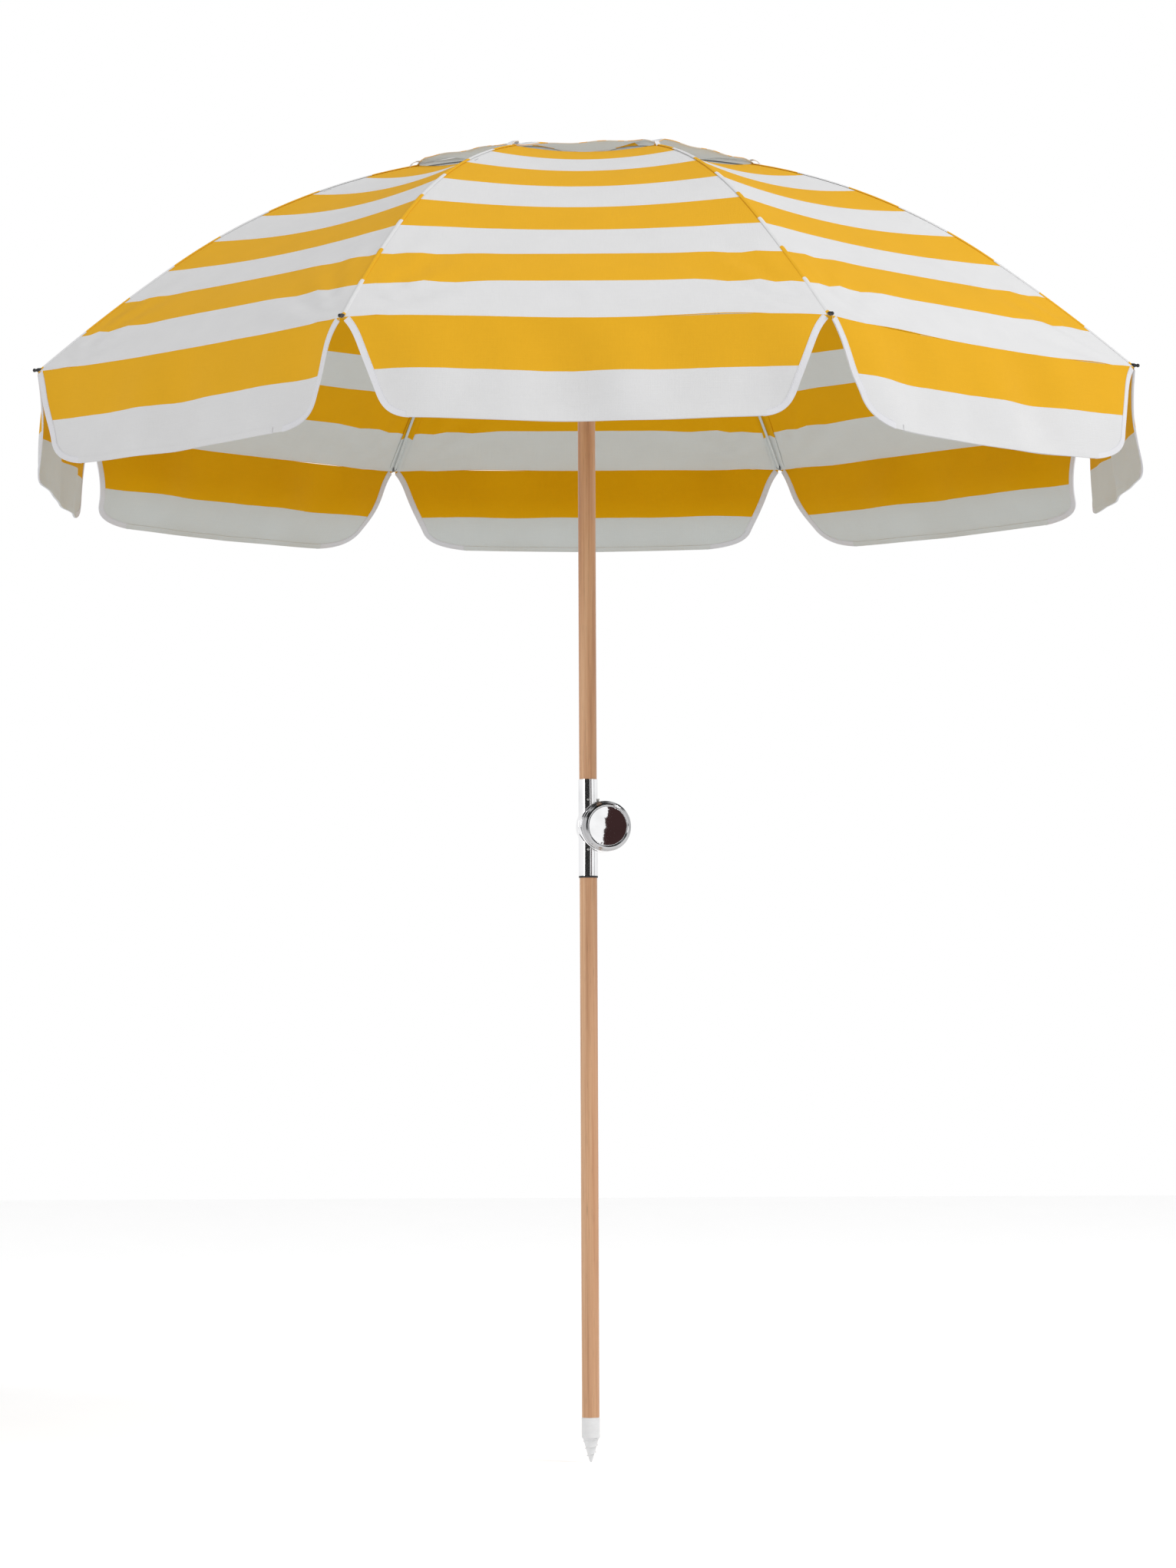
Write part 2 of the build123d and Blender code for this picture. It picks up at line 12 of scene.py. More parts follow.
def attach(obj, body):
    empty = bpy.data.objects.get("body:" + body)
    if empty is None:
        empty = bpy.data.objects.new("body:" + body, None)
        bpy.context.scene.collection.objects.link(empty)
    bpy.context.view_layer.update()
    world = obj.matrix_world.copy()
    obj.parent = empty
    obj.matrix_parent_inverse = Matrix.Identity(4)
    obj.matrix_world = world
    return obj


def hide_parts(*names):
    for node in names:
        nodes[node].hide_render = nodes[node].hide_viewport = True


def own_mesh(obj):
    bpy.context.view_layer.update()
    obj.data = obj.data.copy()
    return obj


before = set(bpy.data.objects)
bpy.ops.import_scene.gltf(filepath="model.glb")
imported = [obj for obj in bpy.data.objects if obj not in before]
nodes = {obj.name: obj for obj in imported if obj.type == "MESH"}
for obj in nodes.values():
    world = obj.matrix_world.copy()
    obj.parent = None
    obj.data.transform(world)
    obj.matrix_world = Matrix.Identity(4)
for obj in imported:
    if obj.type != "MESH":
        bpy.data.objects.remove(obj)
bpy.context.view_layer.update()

# ---------------------------------------------------------------- the cloth's cut, as in the CAD model
SIDES = 8
HALF = math.pi / SIDES
TIP_R = 0.930                       # the canopy's corners
VENT_R = 0.293                      # the hem round the open centre
KNEE_R = 0.700                      # where a seam's inner arc runs into its outer one
SEAM_R = 1.150                      # the inner arc
SEAM_X, SEAM_Z = 0.022, 0.945
OUTER_R = 3.300                     # the outer arc
KNEE = math.asin((KNEE_R - SEAM_X) / SEAM_R)
OUTER_X = KNEE_R - OUTER_R * math.sin(KNEE)
OUTER_Z = SEAM_Z + (SEAM_R - OUTER_R) * math.cos(KNEE)
STRIPE = 0.088                      # width of a stripe
CLOTH = 0.0009                      # thickness of the canvas
RIM_U = TIP_R * math.cos(HALF)      # from the axis to the middle of a side
RIM_HALF = TIP_R * math.sin(HALF)   # half a side's length
DROP = 0.158                        # depth of a flap
UP = np.array([0.0, 0.0, 1.0])


def seam_z(r):
    """Height of a seam: an inner arc that runs into a flatter one at the knee."""
    inner = SEAM_Z + np.sqrt(np.maximum(SEAM_R ** 2 - (r - SEAM_X) ** 2, 0.0))
    outer = OUTER_Z + np.sqrt(np.maximum(OUTER_R ** 2 - (r - OUTER_X) ** 2, 0.0))
    return np.where(r <= KNEE_R, inner, outer)


def middle_length(r):
    """Length along a panel's middle from the vent's hem to rib plane radius r."""
    return np.interp(r, length_r, length_s)


length_r = np.linspace(0.0, 1.0, 1001)
length_steps = np.hypot(np.diff(length_r) * math.cos(HALF), np.diff(seam_z(length_r)))
length_s = np.concatenate([[0.0], np.cumsum(length_steps)])
length_s -= np.interp(VENT_R, length_r, length_s)
CLOTH_LENGTH = float(middle_length(TIP_R))


def smooth(low, high, x):
    """0 below low, 1 above high, and an S-curve between."""
    t = np.clip((x - low) / (high - low), 0.0, 1.0)
    return t * t * (3 - 2 * t)


def direction(azimuth):
    return np.array([math.cos(azimuth), math.sin(azimuth), 0.0])


def outward_and_aside(azimuth):
    """The level directions away from the axis and counter-clockwise round it."""
    return direction(azimuth), direction(azimuth + math.pi / 2)


def along(distances, way):
    """Grid of vectors: each distance times one direction."""
    return distances[..., None] * way


def rib_azimuth(number):
    return HALF + (number - 1) * 2 * HALF


def panel_azimuth(panel):
    return panel * 2 * HALF


def panels_beside(number):
    """(panel, side of that panel) for the two panels that meet at a rib."""
    return ((number - 1) % SIDES, 1), (number % SIDES, -1)


# ---------------------------------------------------------------- mesh helper
class Cloth:
    """Thin closed sheets gathered into one mesh. Each comes from a surface function of two
    parameters."""

    def __init__(self):
        self.points, self.faces, self.slots, self.smooth = [], [], [], []
        self.corner_uvs, self.corner_normals = [], []
        self.count = 0
        self.area = 0.0

    def add(self, surface, a, b, uv, thickness=CLOTH, lift=0.0, slots=(0, 1, 0), flip=False):
        """a and b are grids of parameters; the outer face is where dP/da x dP/db points. slots are
        the material numbers of the outer face, the inner face and the edge."""
        step = 1e-4
        along_a = surface(a + step, b) - surface(a - step, b)
        along_b = surface(a, b + step) - surface(a, b - step)
        normal = np.cross(along_a, along_b)
        if flip:
            normal = -normal
        normal /= np.maximum(np.linalg.norm(normal, axis=2, keepdims=True), 1e-12)
        outer = surface(a, b) + normal * lift
        inner = outer - normal * thickness
        n, m = a.shape
        index = np.arange(n * m).reshape(n, m) + self.count
        under = index + n * m

        def quads(p, q, r, s):
            return np.stack([p.ravel(), q.ravel(), r.ravel(), s.ravel()], 1)

        top = quads(index[:-1, :-1], index[1:, :-1], index[1:, 1:], index[:-1, 1:])
        low = quads(under[:-1, :-1], under[:-1, 1:], under[1:, 1:], under[1:, :-1])
        rim = np.concatenate([
            quads(index[:-1, 0], under[:-1, 0], under[1:, 0], index[1:, 0]),
            quads(index[1:, -1], under[1:, -1], under[:-1, -1], index[:-1, -1]),
            quads(index[0, 1:], under[0, 1:], under[0, :-1], index[0, :-1]),
            quads(index[-1, :-1], under[-1, :-1], under[-1, 1:], index[-1, 1:]),
        ])
        if flip:
            top, low, rim = top[:, ::-1], low[:, ::-1], rim[:, ::-1]
        flat_uv = np.stack([uv[0].ravel(), uv[1].ravel()], 1)
        flat_uv = np.concatenate([flat_uv, flat_uv])
        flat_normal = normal.reshape(-1, 3)
        flat_normal = np.concatenate([flat_normal, -flat_normal])
        for block, slot, rounded in zip((top, low, rim), slots, (True, True, False)):
            corners = (block - self.count).ravel()
            normals = flat_normal[corners] if rounded else np.zeros((len(corners), 3))
            self.faces += block.tolist()
            self.slots += [slot] * len(block)
            self.smooth += [rounded] * len(block)
            self.corner_uvs.append(flat_uv[corners])
            self.corner_normals.append(normals)
        diagonals = np.cross(outer[1:, 1:] - outer[:-1, :-1], outer[:-1, 1:] - outer[1:, :-1])
        self.area += float(np.linalg.norm(diagonals, axis=2).sum() / 2)
        self.points += [outer.reshape(-1, 3), inner.reshape(-1, 3)]
        self.count += 2 * n * m

    def build(self, name, materials, body):
        """Make the mesh object and let it ride on a body of the frame."""
        mesh = bpy.data.meshes.new(name)
        mesh.from_pydata(np.concatenate(self.points).tolist(), [], self.faces)
        layer = mesh.uv_layers.new(name="cloth")
        layer.data.foreach_set("uv", np.concatenate(self.corner_uvs).astype(np.float32).ravel())
        for material in materials:
            mesh.materials.append(material)
        mesh.polygons.foreach_set("material_index", self.slots)
        mesh.polygons.foreach_set("use_smooth", self.smooth)
        mesh.normals_split_custom_set(np.concatenate(self.corner_normals).tolist())
        mesh.update()
        piece = bpy.data.objects.new(name, mesh)
        bpy.context.scene.collection.objects.link(piece)
        piece.visible_glossy = False    # keeps the canopy's yellow out of the chrome
        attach(piece, body)
        return piece


def grid(a_values, b_values):
    return np.meshgrid(np.asarray(a_values, float), np.asarray(b_values, float), indexing="ij")


# ---------------------------------------------------------------- cloth surfaces
# Heights are in metres. Shares run along the cloth from 0 at the vent's hem to 1 at the rim.
SAG, SAG_ENDS = 0.017, (0.47, 0.88)
CREST, CREST_AT, CREST_WIDTH = 0.004, 0.87, 0.075
VENT_RISE, VENT_RISE_END = 0.006, 0.2
RIM_SAGS = {0: 0.006, 1: 0.003, 2: 0.0, 3: 0.003, 4: 0.006, 5: 0.006, 6: 0.0023, 7: 0.0085}
RIM_SAG_START = 0.75
SCALLOPS = {2: 0.002, 6: 0.0045}    # how far these two rims rise either side of their middle
SCALLOP_START = 0.8


def panel_fall(panel, r, across):
    """How far the cloth lies above the straight line between two ribs. It sags, except near the
    rim."""
    share = middle_length(r) / CLOTH_LENGTH
    fall = CREST * np.exp(-((share - CREST_AT) / CREST_WIDTH) ** 2)
    fall = fall - SAG * (1 - smooth(*SAG_ENDS, share))
    fall = fall + VENT_RISE * (1 - smooth(0.0, VENT_RISE_END, share))
    fall = fall - RIM_SAGS[panel] * smooth(RIM_SAG_START, 1.0, share)
    rises = SCALLOPS.get(panel, 0.0) * 4 * across ** 2 * (1 - across ** 2)
    return fall * (1 - across ** 2) + rises * smooth(SCALLOP_START, 1.0, share)


CREASE = 0.0022                     # height of the creases at the canopy's corners
CREASES_PER_RADIAN = 15
CREASE_FADE = 0.05                  # they fade out this close to the seam
CREASE_REACH, CREASE_SPREAD = 0.14, 0.09


def tip_creases(r, across, panel):
    """Soft creases that fan out from the corners, where the cloth is pulled tightest."""
    side = np.where(across < 0, -1.0, 1.0)
    from_side = (1 - np.abs(across)) * RIM_HALF
    from_rim = CLOTH_LENGTH - middle_length(r)
    angle = np.arctan2(from_side, from_rim + 0.02)
    reach = np.hypot(from_side, from_rim)
    ripple = np.sin(angle * CREASES_PER_RADIAN + side * 0.8 + panel * 1.7)
    near = np.exp(-((reach - CREASE_REACH) / CREASE_SPREAD) ** 2)
    return CREASE * ripple * smooth(0.0, CREASE_FADE, from_side) * near


TWIST = 0.009
TWIST_LIFT = 0.0022


def bowed(r, azimuth, out, aside, z):
    """Point from distances along and across an azimuth. Halfway down, the sewn cloth sits a little
    clockwise of the ribs, and so stands a little higher to clear them."""
    bow = np.sin(math.pi * np.clip(middle_length(r) / CLOTH_LENGTH, 0.0, 1.0))
    turn = azimuth - TWIST * bow / r
    x = out * np.cos(turn) - aside * np.sin(turn)
    y = out * np.sin(turn) + aside * np.cos(turn)
    return np.stack([x, y, z + TWIST_LIFT * bow], -1)


def panel_point(panel, r, across):
    """Point of the open canopy; across runs from -1 to 1 between two seams, counter-clockwise."""
    u = r * math.cos(HALF)
    w = across * u * math.tan(HALF)
    z = seam_z(r) + panel_fall(panel, r, across) + tip_creases(r, across, panel)
    return bowed(r, panel_azimuth(panel), u, w, z)


def half_panel(panel, side):
    """Surface of half a panel, from its middle (b = 0) to the seam on that side (b = 1)."""
    return lambda a, b: panel_point(panel, a, side * b)


# A flap's corner as three joined curves of four points each: (in from the corner, down from the rim).
ROUND_CORNER = ((0.0, 0.0), (0.010, 0.010), (0.0165, 0.022), (0.023, 0.040), (0.036, 0.076),
                (0.049, 0.098), (0.055, 0.117), (0.063, 0.138), (0.085, 0.151), (0.135, 0.156))
TIGHT_CORNER = ((0.0, 0.0), (0.010, 0.010), (0.0165, 0.022), (0.023, 0.040), (0.034, 0.071),
                (0.045, 0.100), (0.0525, 0.121), (0.060, 0.140), (0.071, 0.1545), (0.100, 0.1566))
CURVE_POINTS = 14


def flap_edge(corner):
    """Lower edge of half a flap, from its corner round to its middle."""
    def curve(p0, p1, p2, p3, t):
        t = t[:, None]
        return ((1 - t) ** 3 * p0 + 3 * (1 - t) ** 2 * t * p1
                + 3 * (1 - t) * t ** 2 * p2 + t ** 3 * p3)

    points = [np.array(point) for point in corner]
    t = np.linspace(0, 1, CURVE_POINTS)
    parts = [curve(*points[k:k + 4], t) for k in (0, 3, 6)]
    middle = np.array([[RIM_HALF, DROP]])
    return np.concatenate([parts[0], parts[1][1:], parts[2][1:], middle])


TIGHT_EDGE = flap_edge(TIGHT_CORNER)
ROUND_EDGE = flap_edge(ROUND_CORNER)
FRONT = 6                           # the panel that faces the camera
STEEP_EDGES = ((5, 1), (7, -1))     # (panel, side) of the edges that are cut in less
STEEPER, STEEPER_DROPS = 0.2, (0.03, 0.09)


def edge_of(panel, side):
    """Flap edge of a panel on one side."""
    edge = (TIGHT_EDGE if panel == FRONT else ROUND_EDGE).copy()
    if (panel, side) in STEEP_EDGES:
        edge[:-1, 0] *= 1 - STEEPER * smooth(*STEEPER_DROPS, edge[:-1, 1])
    return edge


# How each flap leans out, in degrees: its upper part, its lower part, and how much more at its b end.
FLARES = {0: (4, 5, -4.5), 1: (7, 22, 0), 2: (7, 27, 0), 3: (6, 22, 0), 4: (2, 2.5, 0.5),
          5: (8, 8, 0), 6: (11, 11, 0), 7: (9, 10, 0)}
BEND_START = 0.3                    # share of the drop where the upper lean turns into the lower one
FOLD, FOLD_END = 0.018, 1.12        # size of a flap's folds, and the drop's share where they end
LONG_FOLD, SHORT_FOLD = 0.040, 0.023


def flap_point(panel, x, y):
    """Point of a hanging flap: x from its middle towards the next seam, y down the cloth."""
    upper, lower, twist = [math.radians(angle) for angle in FLARES[panel]]
    out, aside = outward_and_aside(panel_azimuth(panel))
    across = np.clip(x / RIM_HALF, -1.05, 1.05)
    rim = panel_fall(panel, np.full_like(across, TIP_R), across)
    share = np.clip(y / DROP, 0.0, 1.2)
    angle = upper + (lower - upper) * smooth(BEND_START, 1.0, share) + twist * across
    folds = np.sin(x / LONG_FOLD + panel * 2.1) + 0.6 * np.sin(x / SHORT_FOLD + panel)
    wave = FOLD * share * (FOLD_END - share) * folds
    outward = y * np.sin(angle) + wave
    z = seam_z(TIP_R) + rim - y * np.cos(angle)
    return along(RIM_U + outward, out) + along(x, aside) + along(z, UP)


# ---------------------------------------------------------------- materials
class Nodes:
    """Small helper for building a node tree."""

    def __init__(self, tree):
        self.tree = tree

    def node(self, kind, inputs=(), **settings):
        """New node; each input is given as a value or as the socket to link."""
        made = self.tree.nodes.new("ShaderNode" + kind)
        for key, value in settings.items():
            setattr(made, key, value)
        for key, value in dict(inputs).items():
            if isinstance(value, bpy.types.NodeSocket):
                self.tree.links.new(value, made.inputs[key])
            else:
                made.inputs[key].default_value = value
        return made

    def math(self, operation, first, second=0.0, third=0.0):
        return self.node("Math", {0: first, 1: second, 2: third}, operation=operation).outputs[0]

    def scaled(self, value, factor, offset):
        return self.math("MULTIPLY_ADD", value, factor, offset)

    def mix(self, factor, first, second, blend="MIX"):
        made = self.node("Mix", {0: factor, 6: first, 7: second}, data_type="RGBA", blend_type=blend)
        return made.outputs[2]

    def split(self, vector):
        return self.node("SeparateXYZ", {"Vector": vector}).outputs

    def noise(self, vector, scale, detail=2.0, roughness=0.5):
        return self.node("TexNoise", {"Vector": vector, "Scale": scale, "Detail": detail,
                                      "Roughness": roughness}).outputs["Fac"]

    def ramp(self, value, *stops):
        """Colour ramp from (position, colour) pairs in rising order."""
        made = self.node("ValToRGB", {"Fac": value})
        ends = made.color_ramp.elements
        ends[0].position, ends[0].color = stops[0]
        ends[-1].position, ends[-1].color = stops[-1]
        for position, colour in stops[1:-1]:
            ends.new(position).color = colour
        return made.outputs["Color"]


class Finish(Nodes):
    """A material on one Principled BSDF."""

    def __init__(self, name, roughness, metallic=0.0):
        self.material = bpy.data.materials.new(name)
        self.material.use_nodes = True
        super().__init__(self.material.node_tree)
        self.shader = self.tree.nodes["Principled BSDF"]
        self.set("Roughness", roughness)
        self.set("Metallic", metallic)

    def set(self, socket, value):
        self.shader.inputs[socket].default_value = value

    def to(self, socket, value):
        self.tree.links.new(value, self.shader.inputs[socket])

    def bump(self, height, distance, strength):
        made = self.node("Bump", {"Height": height, "Distance": distance, "Strength": strength})
        self.to("Normal", made.outputs["Normal"])

    def place(self):
        return self.node("TexCoord").outputs["Object"]

    def cloth_uv(self):
        return self.node("UVMap", uv_map="cloth").outputs["UV"]

    def streaks(self, vector, scale, detail=2.0, roughness=0.5):
        """Noise drawn out along the axes where the scale is small."""
        stretched = self.node("Mapping", {"Vector": vector, "Scale": scale}).outputs["Vector"]
        return self.noise(stretched, 1.0, detail, roughness)

    def shaded(self, colour, tone):
        """Base colour times a grey tone."""
        shade = self.node("CombineColor", {0: tone, 1: tone, 2: tone}).outputs[0]
        self.to("Base Color", self.mix(1.0, colour, shade, "MULTIPLY"))

    def wave(self, distance, pitch):
        return self.math("SINE", self.math("MULTIPLY", distance, 2 * math.pi / pitch))


def grey(value):
    return (value, value, value, 1.0)


def linear(r, g, b):
    """Linear colour from 8-bit sRGB."""
    return tuple((c / 12.92 if c <= 0.04045 else ((c + 0.055) / 1.055) ** 2.4)
                 for c in (r / 255, g / 255, b / 255)) + (1.0,)


def tinted(colour, factor, offset=0.0):
    return tuple(min(1.0, c * factor + offset) for c in colour[:3]) + (1.0,)


WARP_PITCH, WEFT_PITCH = 0.0014, 0.0011
STRIPE_WANDER = 0.0012              # how far the edge between two stripes strays, in all
THREAD_TONE, CLOUD_TONE, LOWEST_TONE = 0.10, 0.07, 0.915


def canvas(name, yellow, white):
    """Woven acrylic canvas; UV is in metres, and the stripes run across it."""
    m = Finish(name, 0.85)
    uv = m.cloth_uv()
    parts = m.split(uv)
    u, v = parts["X"], parts["Y"]
    wander = m.scaled(m.streaks(uv, (30, 30, 30)), STRIPE_WANDER, -STRIPE_WANDER / 2)
    in_pair = m.math("FRACT", m.math("DIVIDE", m.math("ADD", v, wander), 2 * STRIPE))
    is_white = m.math("GREATER_THAN", in_pair, 0.5)
    slub = m.streaks(uv, (25, 900, 1), 3.0)
    slub_up = m.streaks(uv, (1100, 25, 1), 3.0)
    cloud = m.noise(uv, 14.0, 4.0)
    tone = m.math("ADD", m.math("MULTIPLY", slub, 0.5), m.math("MULTIPLY", slub_up, 0.5))
    tone = m.math("ADD", m.math("MULTIPLY", tone, THREAD_TONE), m.math("MULTIPLY", cloud, CLOUD_TONE))
    m.shaded(m.mix(is_white, yellow, white), m.math("ADD", tone, LOWEST_TONE))
    weave = m.math("MULTIPLY", m.wave(u, WARP_PITCH), m.wave(v, WEFT_PITCH))
    m.bump(m.math("ADD", m.math("MULTIPLY", weave, 0.3), m.math("ADD", slub, slub_up)), 0.0004, 0.6)
    m.set("Sheen Weight", 0.02)
    m.set("Sheen Roughness", 0.5)
    m.set("Specular IOR Level", 0.12)
    return m.material


STITCH_PITCH, STITCH_SHARE = 0.0042, 0.7    # a stitch is this share of the pitch; the rest is a gap
STITCH_INSET, STITCH_HALF = 0.0082, 0.00045
TAPE_RIB_PITCH = 0.0010


def tape(name, colour):
    """Cotton binding tape with a row of stitches; U runs along it and V across from the edge."""
    m = Finish(name, 0.8)
    uv = m.cloth_uv()
    parts = m.split(uv)
    u, v = parts["X"], parts["Y"]
    dash = m.math("LESS_THAN", m.math("FRACT", m.math("DIVIDE", u, STITCH_PITCH)), STITCH_SHARE)
    off_row = m.math("ABSOLUTE", m.math("SUBTRACT", v, STITCH_INSET))
    stitch = m.math("MULTIPLY", dash, m.math("LESS_THAN", off_row, STITCH_HALF))
    fine = m.streaks(uv, (1200, 400, 1))
    cloud = m.noise(uv, 60.0, 3.0)
    tone = m.math("ADD", m.scaled(fine, 0.08, 0.93), m.math("MULTIPLY", cloud, 0.04))
    m.shaded(colour, m.math("SUBTRACT", tone, m.math("MULTIPLY", stitch, 0.10)))
    height = m.math("ADD", m.math("MULTIPLY", m.wave(u, TAPE_RIB_PITCH), 0.3), fine)
    m.bump(m.math("SUBTRACT", height, m.math("MULTIPLY", stitch, 1.2)), 0.0004, 0.6)
    m.set("Specular IOR Level", 0.3)
    return m.material


def timber():
    """Straight-grained pale hardwood under a satin oil."""
    m = Finish("timber_oiled", 0.48)
    place = m.place()
    grain = m.streaks(place, (170, 170, 3.0), 5.0, 0.6)
    pores = m.streaks(place, (900, 900, 26))
    bands = m.streaks(place, (60, 60, 0.8))
    base = m.ramp(grain, (0.30, linear(196, 142, 102)), (0.52, linear(224, 175, 133)),
                  (0.75, linear(238, 196, 155)))
    darker = m.math("MULTIPLY", m.ramp(bands, (0.42, grey(0)), (0.66, grey(1))), 0.55)
    warm = m.mix(darker, base, linear(206, 149, 110))
    pits = m.ramp(pores, (0.60, grey(1)), (0.72, grey(0.78)))
    m.to("Base Color", m.mix(1.0, warm, pits, "MULTIPLY"))
    m.to("Roughness", m.scaled(grain, 0.22, 0.36))
    m.bump(m.math("SUBTRACT", grain, m.math("MULTIPLY", pores, 0.5)), 0.0003, 0.5)
    m.set("Coat Weight", 0.12)
    m.set("Coat Roughness", 0.3)
    return m.material


def metal(name, colour, roughness, brushed=(40, 40, 40), worn=0.12, pitted=0.25):
    """Plated or bare metal with fine wear in its gloss."""
    m = Finish(name, roughness, 1.0)
    place = m.place()
    fine = m.streaks(place, tuple(s * 10 for s in brushed), 3.0)
    smudge = m.noise(place, 35.0, 4.0)
    smudged = m.ramp(smudge, (0.45, grey(0)), (0.75, grey(0.6)))
    m.to("Base Color", m.mix(smudged, colour, tinted(colour, 0.82)))
    rough = m.scaled(fine, worn, roughness - worn / 2)
    m.to("Roughness", m.scaled(smudge, worn, rough))
    m.bump(fine, 0.00005, pitted)
    return m.material


def moulded(name, colour, roughness, grain=900.0, speck=0.05):
    """Moulded plastic or rubber with a fine sparked surface and slight handling marks."""
    m = Finish(name, roughness)
    place = m.place()
    fine = m.noise(place, grain)
    scuff = m.streaks(place, (60, 60, 140), 5.0, 0.65)
    dirty = m.ramp(scuff, (0.35, grey(0.7)), (0.55, grey(0)))
    rubbed = m.ramp(scuff, (0.60, grey(0)), (0.70, grey(0.6)))
    base = m.mix(dirty, colour, tinted(colour, 1 - 3 * speck))
    m.to("Base Color", m.mix(rubbed, base, tinted(colour, 1.15, 0.01)))
    m.to("Roughness", m.scaled(scuff, 0.25, roughness - 0.12))
    m.bump(fine, 0.00015, 0.35)
    return m.material


cloth_top = canvas("canvas_outer", (0.872, 0.462, 0.020, 1.0), (0.80, 0.80, 0.805, 1.0))
# The inner face is a darker copy of the same canvas: partly the coated underside of the cloth, partly
# painted shade for the underside of the canopy.
cloth_low_coated_and_shaded = canvas("canvas_inner_coated_and_shaded", (0.836, 0.425, 0.0, 1.0), (0.732, 0.771, 0.757, 1.0))
tape_top = tape("binding_outer", (0.84, 0.84, 0.87, 1.0))
# The binding's inner face is a darker copy of the same tape: painted shade.
tape_low_painted_shade = tape("binding_inner_painted_shade", (0.80, 0.81, 0.84, 1.0))
FINISHES = {                        # by the CAD nodes' material slots
    "timber": timber(),
    "chrome": metal("chrome_plate", (0.90, 0.90, 0.91, 1.0), 0.07, worn=0.05, pitted=0.04),
    "steel": metal("zinc_steel", (0.62, 0.61, 0.59, 1.0), 0.32),
    "brass": metal("brass", (0.80, 0.58, 0.26, 1.0), 0.28),
    "mirror_face": metal("polished_face", (0.93, 0.93, 0.94, 1.0), 0.004, worn=0.004, pitted=0.0),
    "white_plastic": moulded("white_nylon", (0.93, 0.93, 0.935, 1.0), 0.38, speck=0.02),
    "black_rubber": moulded("black_rubber", (0.018, 0.018, 0.019, 1.0), 0.6),
    "black_fibre": moulded("black_fibre", (0.03, 0.028, 0.026, 1.0), 0.75, grain=500.0),
    "rib_grey": metal("rib_rod", (0.42, 0.43, 0.41, 1.0), 0.42, brushed=(30, 30, 3)),
    "strut_grey": metal("strut_steel", (0.36, 0.37, 0.36, 1.0), 0.45, brushed=(30, 30, 3)),
    "black_fittings": moulded("black_nylon", (0.02, 0.02, 0.021, 1.0), 0.42),
}
# The knob's chrome gets a dark base colour: painted dark reflections on its bezel.
KNOB_DARKENED_CHROME = metal("chrome_painted_dark", (0.46, 0.46, 0.47, 1.0), 0.12, worn=0.06, pitted=0.08)

for name, node in nodes.items():
    slot = node.data.materials[0].name
    if slot in FINISHES:
        node.data.materials.clear()
        node.data.materials.append(KNOB_DARKENED_CHROME if name == "knob" else FINISHES[slot])

# ---------------------------------------------------------------- canopy petals and seams
BAND_EDGES = [float(np.interp(k * STRIPE, length_s, length_r)) for k in range(SIDES)] + [TIP_R]
BANDS = len(BAND_EDGES) - 1         # a petal is this many stripes long
ACROSS = np.linspace(0.0, 1.0, 15)
SEAM_PULL = 0.005                   # how far the cut of the cloth bends its stripes at a seam
RIDGE_HALF, RIDGE_HEIGHT = 0.0042, 0.0016
RIDGE_CUT = 0.0041                  # the ridge's cloth stops just short of its foot
ALLOWANCE_HALF = 0.011              # half the width of the seam allowance
RIDGE_THICKNESS, ALLOWANCE_THICKNESS = 0.0008, 0.0006
RIDGE_SHIFT, ALLOWANCE_SHIFT = 0.010, -0.006    # how far their stripes lie off the canopy's


def seam(number):
    """Felled ridge on the seam, and the seam allowance below it."""
    def base(a, b):
        """a is the rib plane radius, b the distance from the rib's plane."""
        return bowed(a, rib_azimuth(number), a, b, seam_z(a + np.abs(b) * math.tan(HALF)))

    def ridge(a, b):
        height = RIDGE_HEIGHT * np.sqrt(np.clip(1 - (b / RIDGE_HALF) ** 2, 0.0, 1.0))
        return base(a, b) + along(height, UP)

    def allowance(a, b):
        hang = 0.0013 + 0.0012 * smooth(0.004, ALLOWANCE_HALF, np.abs(b))
        return base(a, b) - along(hang, UP)

    cloth = Cloth()
    r, b = grid(np.linspace(VENT_R, TIP_R - 0.004, 90), np.linspace(-RIDGE_CUT, RIDGE_CUT, 9))
    cloth.add(ridge, r, b, (b, middle_length(r) + RIDGE_SHIFT), thickness=RIDGE_THICKNESS)
    r, b = grid(np.linspace(VENT_R + 0.005, TIP_R - 0.012, 60),
                np.linspace(-ALLOWANCE_HALF, ALLOWANCE_HALF, 9))
    cloth.add(allowance, r, b, (b, middle_length(r) + ALLOWANCE_SHIFT),
              thickness=ALLOWANCE_THICKNESS, slots=(1, 1, 1))
    return cloth.build(f"seam_{number}", [cloth_top, cloth_low_coated_and_shaded], f"rib_{number}")


def petal(number):
    """The cloth about one rib, in bands a stripe wide, each a piece of its own. The rim band is the
    last."""
    seam_piece = seam(number)
    for band, (start, end) in enumerate(zip(BAND_EDGES[:-1], BAND_EDGES[1:]), 1):
        cloth = Cloth()
        for panel, side in panels_beside(number):
            r, across = grid(np.linspace(start, end, 7), ACROSS)
            down = middle_length(r)
            pulled = SEAM_PULL * across ** 4 * np.sin(math.pi * down / CLOTH_LENGTH)
            uv = (across * side * r * math.sin(HALF), down - pulled)
            cloth.add(half_panel(panel, side), r, across, uv, flip=side < 0)
        name = f"canopy_cloth_{number}" + ("" if band == BANDS else f"_band_{band}")
        piece = cloth.build(name, [cloth_top, cloth_low_coated_and_shaded], f"rib_{number}")
        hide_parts(f"canopy_{number}")
        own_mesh(piece)


